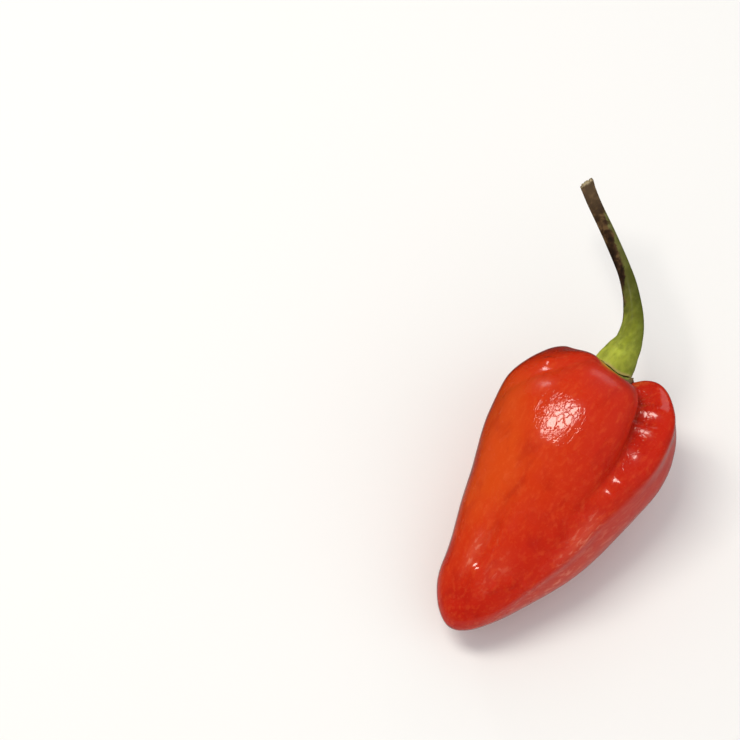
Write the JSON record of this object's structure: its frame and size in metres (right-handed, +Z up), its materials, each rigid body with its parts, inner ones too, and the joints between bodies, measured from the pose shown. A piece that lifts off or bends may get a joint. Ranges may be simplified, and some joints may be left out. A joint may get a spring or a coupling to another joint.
{
  "type": "chilli pepper",
  "caption": "Orange-red habanero chilli pepper lying on its side: a lobed glossy pod with a deep groove, a small pointed calyx and a curved green stem.",
  "frame": {"origin": "on the surface that the pepper lies on, under the middle of its box", "axes": "+X from the pod's blossom tip to its stem end, +Y to the left, +Z up"},
  "size_m": [0.0786, 0.0422, 0.0288],
  "materials": {
    "pod": "glossy waxy skin",
    "calyx": "dull olive brown",
    "stem": "satin green, brown towards the tip"
  },
  "bodies": {
    "root": {"pod": "pod", "calyx": "calyx", "stem": "stem"}
  },
  "joints": []
}
